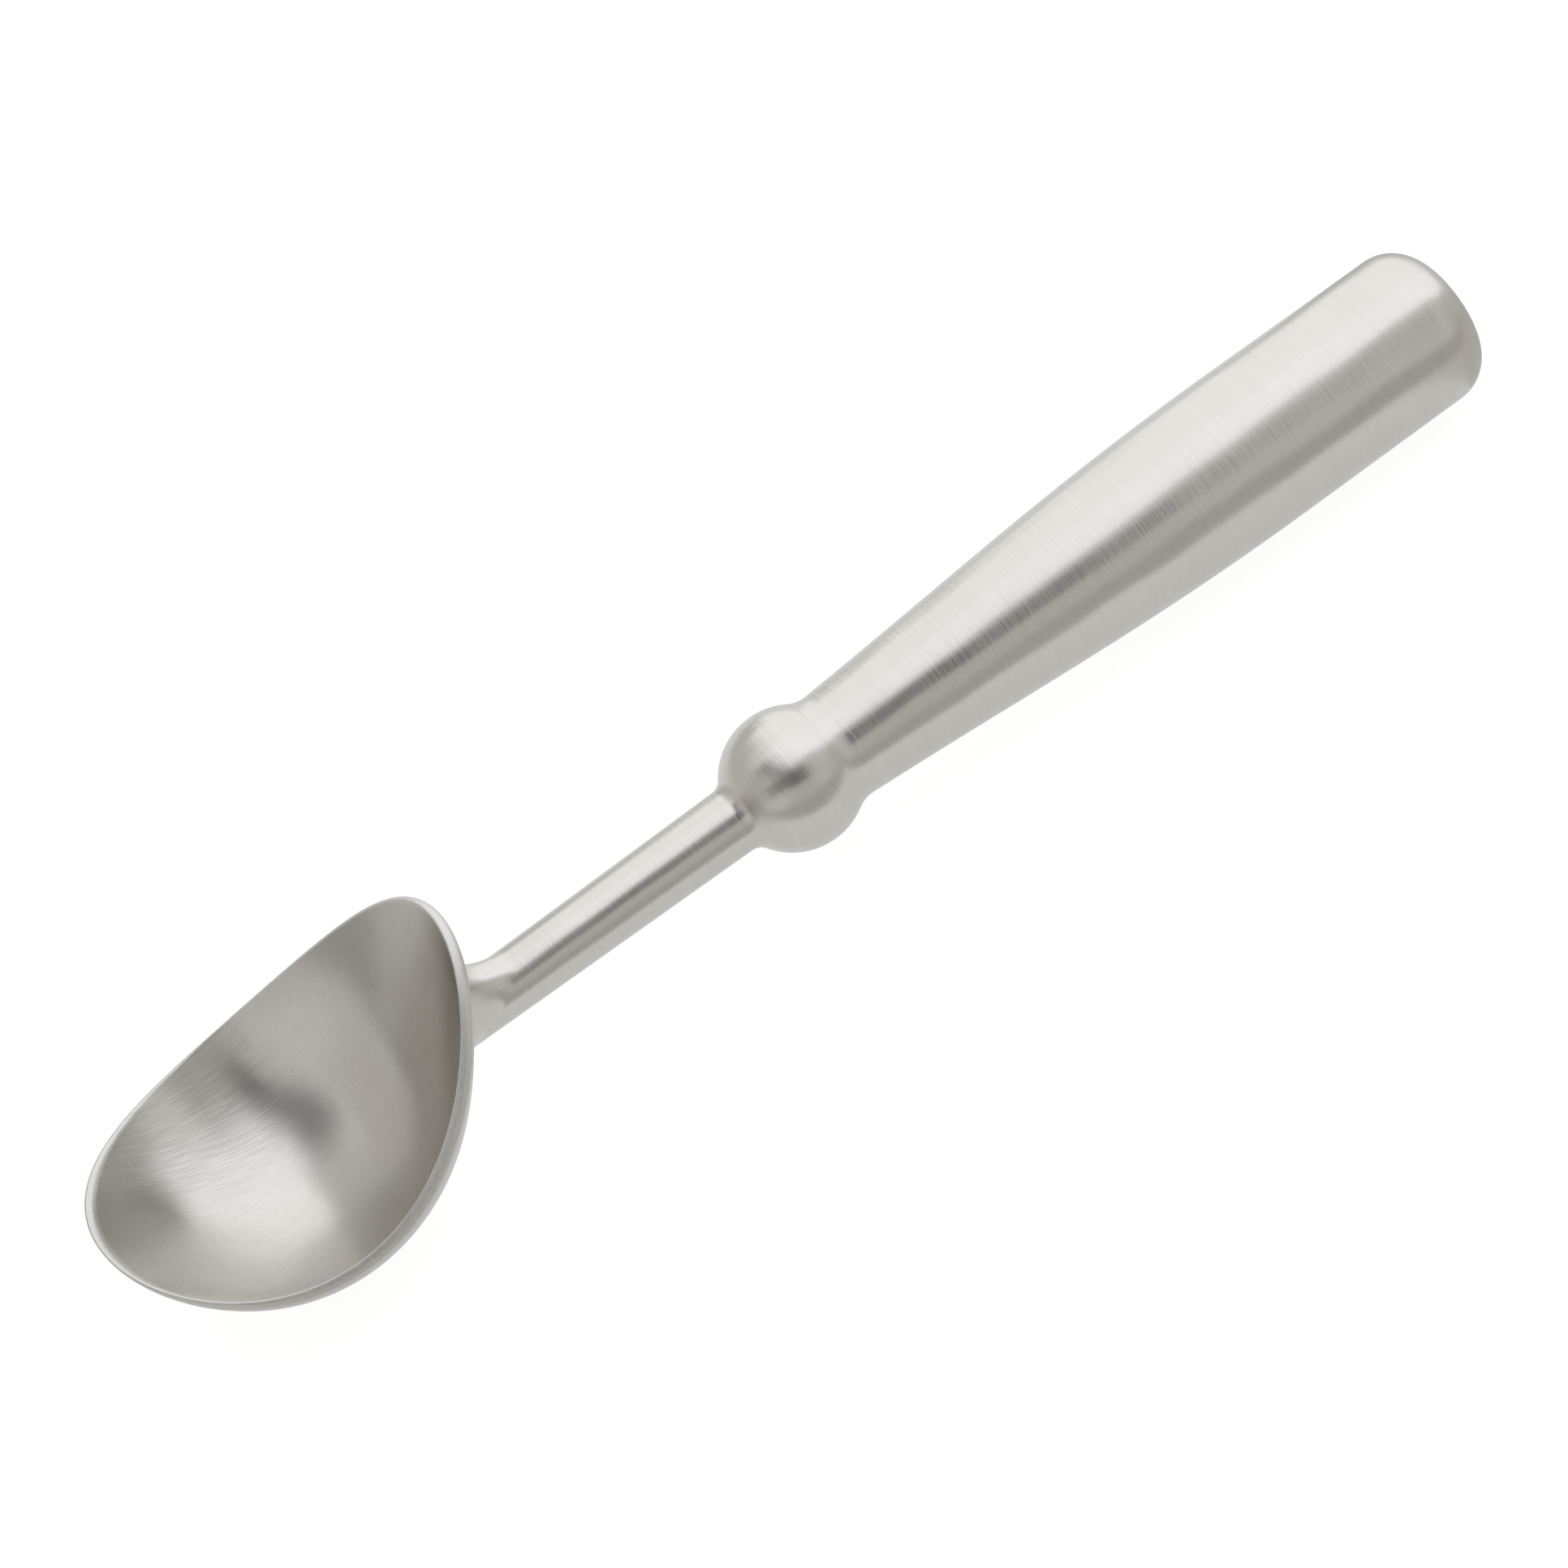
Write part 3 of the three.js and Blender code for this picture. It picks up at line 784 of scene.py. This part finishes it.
def worn_place(tree, across_way, along_way):
    """1 in the scratched place and 0 outside: a rise and a fall along the scratches times a rise across."""
    fall = spread(tree, along_way, (1.0, 0.0), (WORN_TO, WORN_TO + WORN_FADE))
    along = product(tree, fade_in(tree, along_way, WORN_FROM), fall)
    return product(tree, along, fade_in(tree, across_way, WORN_SIDE))


print("scratches from", WORN_FROM, "to", WORN_TO, "mm along, with a fade of", WORN_FADE, "mm")

# %% Bowl steel
BRUSHED = (2.6, 0.06, 1.0)
BRUSHED_DEPTH = 5e-6
FINE_SCRATCHES = (5.0, 0.12, 1.0)
FINE_BAND = (0.5, 0.7)
FINE_DEPTH = 8e-6
DEEP_SCRATCHES = (2.6, 0.16, 1.0)
DEEP_BAND = (0.64, 0.70)
DEEP_DEPTH = 6e-6
HAIRLINES = (4.4, 0.2, 1.0)
HAIRLINE_BAND = (0.4, 0.62)
HAIRLINE_LIGHT = (0.675, 0.656, 0.620, 1.0)
HAIRLINE_DARK = (0.567, 0.551, 0.520, 1.0)
BOWL_GRAIN = (2600.0, 2600.0, 2600.0)
BOWL_BLOTCHES = (120.0, 160.0, 160.0)
BOWL_WAVES = (45.0, 60.0, 60.0)
BOWL_ROUGHNESS = (0.25, 0.31)
BOWL_ANISOTROPY = 0.8


def bowl_colour(tree, place, unwrapped, flank):
    """Fine grain between two steels, and hairlines in its place on the flank."""
    grain = stretched(tree, place, BOWL_GRAIN, detail=2.0)
    plain = between(tree, spread(tree, grain), STEEL_DARK, STEEL_LIGHT)
    hair = stretched(tree, unwrapped, HAIRLINES, detail=1.0)
    hairlines = between(tree, spread(tree, hair, band=HAIRLINE_BAND), HAIRLINE_LIGHT, HAIRLINE_DARK)
    return between(tree, flank, plain, hairlines)


def bowl_normal(tree, place, unwrapped, worn):
    """Soft waves everywhere, and in the worn place the brushing, the fine and the deep scratches."""
    brushed = stretched(tree, unwrapped, BRUSHED, detail=1.0)
    fine = spread(tree, stretched(tree, unwrapped, FINE_SCRATCHES, detail=1.0), band=FINE_BAND)
    deep = spread(tree, stretched(tree, unwrapped, DEEP_SCRATCHES, detail=1.0), band=DEEP_BAND)
    normal = bumped(tree, stretched(tree, place, BOWL_WAVES, detail=1.0), WAVE_DEPTH)
    for height, depth in ((brushed, BRUSHED_DEPTH), (fine, FINE_DEPTH), (deep, DEEP_DEPTH)):
        normal = bumped(tree, product(tree, worn, height), depth, under=normal)
    return normal


def bowl_satin():
    """Satin steel with scratches that follow the bowl's own map."""
    material, tree, shader = new_steel("bowl_satin")
    place = tool_coordinates(tree)
    unwrapped = add_node(tree, "ShaderNodeUVMap", [("uv_map", "brush")]).outputs[0]
    ways = add_node(tree, "ShaderNodeSeparateXYZ", links=[("Vector", unwrapped)]).outputs
    worn = worn_place(tree, ways["X"], ways["Y"])
    flank = product(tree, worn, fade_in(tree, ways["X"], HAIRLINE_SIDE))
    colour = bowl_colour(tree, place, unwrapped, flank)
    roughness = spread(tree, stretched(tree, place, BOWL_BLOTCHES), BOWL_ROUGHNESS)
    dress(tree, shader, colour, roughness, bowl_normal(tree, place, unwrapped, worn))
    brush(tree, shader, BOWL_ANISOTROPY)
    return material


bowl.data.materials.append(bowl_satin())
print("satin steel with scratches on the bowl")

# %% [markdown]
# The cut edge was ground, not brushed, so it is a little rougher and grainy, with no direction.

# %% Cut rim
RIM_GRAIN = (1800.0, 1800.0, 1800.0)
RIM_ROUGHNESS = (0.38, 0.52)
RIM_DEPTH = 4e-5
RIM_STRENGTH = 0.6


def rim_cut():
    """Ground steel: one fine noise drives the colour, the roughness and the bump."""
    material, tree, shader = new_steel("rim_cut")
    grain = stretched(tree, tool_coordinates(tree), RIM_GRAIN)
    colour = between(tree, spread(tree, grain), STEEL_DARK, STEEL_LIGHT)
    normal = bumped(tree, grain, RIM_DEPTH, RIM_STRENGTH)
    dress(tree, shader, colour, spread(tree, grain, RIM_ROUGHNESS), normal)
    return material


bowl.data.materials.append(rim_cut())
print("grainy steel on the bowl's cut edge")

# %% [markdown]
# ## Inside the handle
# The bush, the cross pin and the cap's joint ring are never seen, but they keep their CAD shapes and get
# a plain machined steel: rougher, a good deal darker, with the lines of a lathe tool.

# %% Inner steel
INNER_DARK = (0.25, 0.247, 0.243, 1.0)
INNER_LIGHT = (0.31, 0.307, 0.302, 1.0)
INNER_ROUGHNESS = (0.42, 0.55)
LATHE_LINES = (1800.0, 30.0, 30.0)
LATHE_DEPTH = 3e-5
LATHE_STRENGTH = 0.4


def inner_machined():
    """Turned steel that was left as it came off the lathe: blotchy stain and tool lines."""
    material, tree, shader = new_steel("inner_machined")
    place = tool_coordinates(tree)
    stain = stretched(tree, place, BLOTCHES)
    lathe = stretched(tree, place, LATHE_LINES, detail=2.0)
    colour = between(tree, spread(tree, stain), INNER_DARK, INNER_LIGHT)
    normal = bumped(tree, lathe, LATHE_DEPTH, LATHE_STRENGTH)
    dress(tree, shader, colour, spread(tree, stain, INNER_ROUGHNESS), normal)
    return material


inner_steel = inner_machined()
for node in ("tang_bush", "tang_pin", "cap_ring"):
    frame["nodes"][node].data.materials.clear()
    frame["nodes"][node].data.materials.append(inner_steel)
    print("machined steel on", node)

# %% [markdown]
# ## Camera
# The photograph looks down on the scoop from the side, with the handle running to the upper right. The
# view was worked out from the outline of ball and handle: how far the axis turns towards the camera, how
# far the scoop is rolled, and the picture angle of the axis. The ball's centre lies close to the middle
# of the picture, and a small shift of the lens puts it on its pixel.

# %% Camera
PICTURE = 1932
BALL_PIXEL = (976, 959)
TURN_AWAY = math.radians(11)  # the bowl is turned towards the camera by this much
ROLL = math.radians(43)  # the open side is rolled away from the camera by this much
PICTURE_ANGLE = math.radians(35.85)  # the axis in the picture, above level
CAMERA_DISTANCE = 800.0
PIXELS_PER_MM = 10.2
SENSOR = 36.0
CLIP_START = 0.01

to_camera = np.array([
    -math.sin(TURN_AWAY),
    -math.cos(TURN_AWAY) * math.sin(ROLL),
    math.cos(TURN_AWAY) * math.cos(ROLL),
])
along_axis = np.array([
    math.cos(TURN_AWAY),
    -math.sin(TURN_AWAY) * math.sin(ROLL),
    math.sin(TURN_AWAY) * math.cos(ROLL),
])
across_axis = -np.cross(to_camera, along_axis)
picture_right = math.cos(PICTURE_ANGLE) * along_axis + math.sin(PICTURE_ANGLE) * across_axis
picture_up = math.sin(PICTURE_ANGLE) * along_axis - math.cos(PICTURE_ANGLE) * across_axis
camera_axes = np.stack([picture_right, picture_up, to_camera]) @ TOOL_AXES

lens = bpy.data.cameras.new("photo_camera")
lens.sensor_width = SENSOR
lens.lens = SENSOR * CAMERA_DISTANCE * PIXELS_PER_MM / PICTURE
lens.shift_x = (PICTURE / 2 - BALL_PIXEL[0]) / PICTURE
lens.shift_y = (BALL_PIXEL[1] - PICTURE / 2) / PICTURE
lens.clip_start = CLIP_START
camera = bpy.data.objects.new("photo_camera", lens)
camera_place = Matrix(camera_axes.T.tolist()).to_4x4()
camera_place.translation = Vector(to_frame(to_camera * CAMERA_DISTANCE))
camera.matrix_world = camera_place
scene.collection.objects.link(camera)
scene.camera = camera
print("lens in mm:", round(lens.lens, 2))

# %% [markdown]
# ## Studio
# Steel shows what stands around it, and the photograph's streaks say what that was. The largest thing is
# a soft box overhead and behind, which draws the broad bright band along the handle. It is an area lamp,
# laid out between its near and its far edge.

# %% Soft box
BOX_NEAR = Vector((0.5525, -0.22, 0.57))  # middle of the near edge, in metres
BOX_FAR = Vector((0.5525, 0.95, 0.03))
BOX_WIDTH = 1.235
BOX_RADIANCE = 0.548  # on top of the white world behind it
BOX_COLOUR = (0.98, 1.0, 1.035, 1)

box_lamp = bpy.data.lights.new("soft_box", "AREA")
box_lamp.shape = "RECTANGLE"
box_lamp.size = BOX_WIDTH
box_lamp.size_y = (BOX_FAR - BOX_NEAR).length
box_lamp.energy = math.pi * BOX_RADIANCE * box_lamp.size * box_lamp.size_y
box_lamp.color = BOX_COLOUR[:3]
soft_box = bpy.data.objects.new("soft_box", box_lamp)
box_side = Vector((1, 0, 0))
box_long = (BOX_FAR - BOX_NEAR).normalized()
box_place = Matrix((box_side, box_long, box_side.cross(box_long))).transposed().to_4x4()
box_place.translation = (BOX_FAR + BOX_NEAR) / 2
soft_box.matrix_world = box_place
soft_box.visible_camera = False
scene.collection.objects.link(soft_box)
print("soft box", [round(v, 2) for v in (box_lamp.size, box_lamp.size_y)], "m")

# %% [markdown]
# Everything else is cards that only reflections see. A dark zone round the camera draws the dark line
# along neck and handle, and an arm of it reaches over the bowl. A small card hangs near the ball. Grey
# cards stand low in front, behind, at the left and at the right. The grey card on the floor beside the butt
# is a painted shadow: it darkens the floor that the butt mirrors, as the handle's shadow would. Two bright
# ones carry the soft box on towards the camera and close it at the right. Lamps could take their place, but
# cards leave the floor's light and the shadow alone.

# %% Cards
CARD_TINT = (1.0, 0.98, 0.94, 1)
DARK_RADIANCE = 0.059
BRIGHT_RADIANCE = 1.348
GREY_RADIANCE = 0.607
FRONT_RADIANCE = 0.578
LOW_RADIANCE = 0.489
NEAR_RADIANCE = 0.296
DARK_DISTANCE = 600.0  # the dark card faces the ball; these four are in mm
DARK_LEFT = 105.0
DARK_RIGHT = 270.0
DARK_HEIGHT = 245.0


def card(name, corners, radiance, tint=CARD_TINT):
    """A four-cornered card that glows evenly and that only reflections see."""
    mesh = bpy.data.meshes.new(name)
    mesh.from_pydata(corners, [], [(0, 1, 2, 3)])
    paint = bpy.data.materials.new(name)
    paint.use_nodes = True
    tree = paint.node_tree
    tree.nodes.clear()
    glow = add_node(tree, "ShaderNodeEmission", values=[("Color", tint), ("Strength", radiance)])
    add_node(tree, "ShaderNodeOutputMaterial", links=[("Surface", glow.outputs[0])])
    mesh.materials.append(paint)
    piece = bpy.data.objects.new(name, mesh)
    piece.visible_camera = False
    piece.visible_shadow = False
    piece.visible_diffuse = False
    scene.collection.objects.link(piece)
    print(name, "glows at", radiance)


dark_corners = np.array([
    (-DARK_LEFT, DARK_HEIGHT / 2),
    (DARK_RIGHT, DARK_HEIGHT / 2),
    (DARK_RIGHT, -DARK_HEIGHT / 2),
    (-DARK_LEFT, -DARK_HEIGHT / 2),
])
dark_places = DARK_DISTANCE * to_camera + dark_corners @ np.stack([along_axis, across_axis])
card("dark_card", to_frame(dark_places).tolist(), DARK_RADIANCE)

# %% Placed cards
TINTED_CARDS = (  # name, radiance and four corners in metres
    ("dark_arm", DARK_RADIANCE,
     (-0.155, -0.38, 0.44), (0.011, -0.386, 0.46), (-0.22, 0.10, 0.57), (-0.431, 0.042, 0.53)),
    ("ball_card", NEAR_RADIANCE,
     (-0.080, -0.047, 0.053), (-0.033, -0.071, 0.077), (-0.031, -0.049, 0.095), (-0.078, -0.025, 0.071)),
    ("low_card", LOW_RADIANCE,
     (-1, -0.045, 0.001), (1, -0.045, 0.001), (1, -0.4, 0.065), (-1, -0.4, 0.065)),
    ("front_card", FRONT_RADIANCE,
     (-0.26, -0.4, 0.065), (0.2, -0.4, 0.065), (0.3, -0.62, 0.5), (-0.4, -0.62, 0.5)),
    ("back_card", GREY_RADIANCE,
     (-1, 0.45, 0), (0.09, 0.45, 0), (0.07, 0.45, 0.25), (-1, 0.45, 0.25)),
    ("back_left", GREY_RADIANCE,
     (-1, 0.45, 0.25), (-0.02, 0.45, 0.25), (-0.065, 0.45, 0.6), (-1, 0.45, 0.6)),
    ("left_card", GREY_RADIANCE,
     (-0.442, -0.135, 0.461), (-0.64, -0.11, 0.177), (-0.597, 0.237, 0.185), (-0.36, 0.303, 0.437)),
    # painted shadow: a grey sheet on the floor beside the butt, mirrored in place of the handle's shadow
    ("butt_card", GREY_RADIANCE,
     (0.0985, -0.06, 3e-4), (0.3, -0.06, 3e-4), (0.3, 0.12, 3e-4), (0.0985, 0.12, 3e-4)),
    ("right_card", GREY_RADIANCE,
     (1, -1, 0), (1, 0.28, 0), (1, -0.22, 0.5), (1, -1, 0.5)),
)
BRIGHT_CARDS = (  # the soft box's own colour
    ("bright_strip",
     (-0.13, -0.295, 0.59), (1.17, -0.06, 0.485), (1.17, 0.1, 0.41), (-0.13, 0.1, 0.41)),
    ("bright_side",
     (1.17, -0.29, 0.6), (1.17, 0, 0.3), (1.17, 0.35, 0.02), (1.17, 0.95, 0.03)),
)

for name, radiance, *corners in TINTED_CARDS:
    card(name, corners, radiance)
for name, *corners in BRIGHT_CARDS:
    card(name, corners, BRIGHT_RADIANCE, BOX_COLOUR)

# %% [markdown]
# The scoop lies on a white floor in a white room. The camera sees both as pure white, but the steel
# mirrors a weaker white. Light steel in a dim room gives the same tones as dark steel in a bright one
# wherever it mirrors the room, but the bowl also mirrors itself, and there only light steel is as light
# as in the photograph. The Light Path node tells camera rays and mirrored rays apart. The floor glows,
# so that it stays white, and scatters some light as well, so that it still takes a faint shadow.

# %% White floor
FLOOR_HALF = 6.0
FLOOR_COLOUR = (0.32, 0.32, 0.32, 1)
FLOOR_GLOW = 0.85  # for the camera
FLOOR_MIRRORED = 0.578  # for reflections


def by_ray(tree, seen, mirrored, rest):
    """A strength by kind of ray: the rest's, plus the difference for mirrored and for camera rays."""
    path = add_node(tree, "ShaderNodeLightPath").outputs
    multiply_add = [("operation", "MULTIPLY_ADD")]
    values = ((1, mirrored - rest), (2, rest))
    unseen = add_node(tree, "ShaderNodeMath", multiply_add, [(0, path["Is Glossy Ray"])], values)
    links = ((0, path["Is Camera Ray"]), (2, unseen.outputs[0]))
    return add_node(tree, "ShaderNodeMath", multiply_add, links, [(1, seen - rest)]).outputs[0]


floor_white = bpy.data.materials.new("floor_white")
floor_white.use_nodes = True
tree = floor_white.node_tree
tree.nodes.clear()
matte = add_node(tree, "ShaderNodeBsdfDiffuse", values=[("Color", FLOOR_COLOUR)])
glow_strength = by_ray(tree, FLOOR_GLOW, FLOOR_MIRRORED, 0.0)
glow = add_node(tree, "ShaderNodeEmission", links=[("Strength", glow_strength)])
both = add_node(tree, "ShaderNodeAddShader", links=[(0, matte.outputs[0]), (1, glow.outputs[0])])
add_node(tree, "ShaderNodeOutputMaterial", links=[("Surface", both.outputs[0])])

floor_mesh = bpy.data.meshes.new("floor")
floor_corners = [(x * FLOOR_HALF, y * FLOOR_HALF, 0) for x, y in ((-1, -1), (1, -1), (1, 1), (-1, 1))]
floor_mesh.from_pydata(floor_corners, [], [(0, 1, 2, 3)])
floor_mesh.materials.append(floor_white)
floor = bpy.data.objects.new("floor", floor_mesh)
scene.collection.objects.link(floor)
print("floor glow", FLOOR_GLOW, "seen and", FLOOR_MIRRORED, "mirrored")

# %% White world
WORLD_SEEN = 1.0
WORLD_MIRRORED = 0.741
WORLD_FILL = 0.593  # for the light that the floor scatters

world = bpy.data.worlds.new("studio")
scene.world = world
world.use_nodes = True
tree = world.node_tree
backdrop = tree.nodes["Background"]
backdrop.inputs["Color"].default_value = (1, 1, 1, 1)
tree.links.new(by_ray(tree, WORLD_SEEN, WORLD_MIRRORED, WORLD_FILL), backdrop.inputs["Strength"])
scene.view_settings.view_transform = "Standard"
print("world", WORLD_SEEN, "seen,", WORLD_MIRRORED, "mirrored and", WORLD_FILL, "as fill")
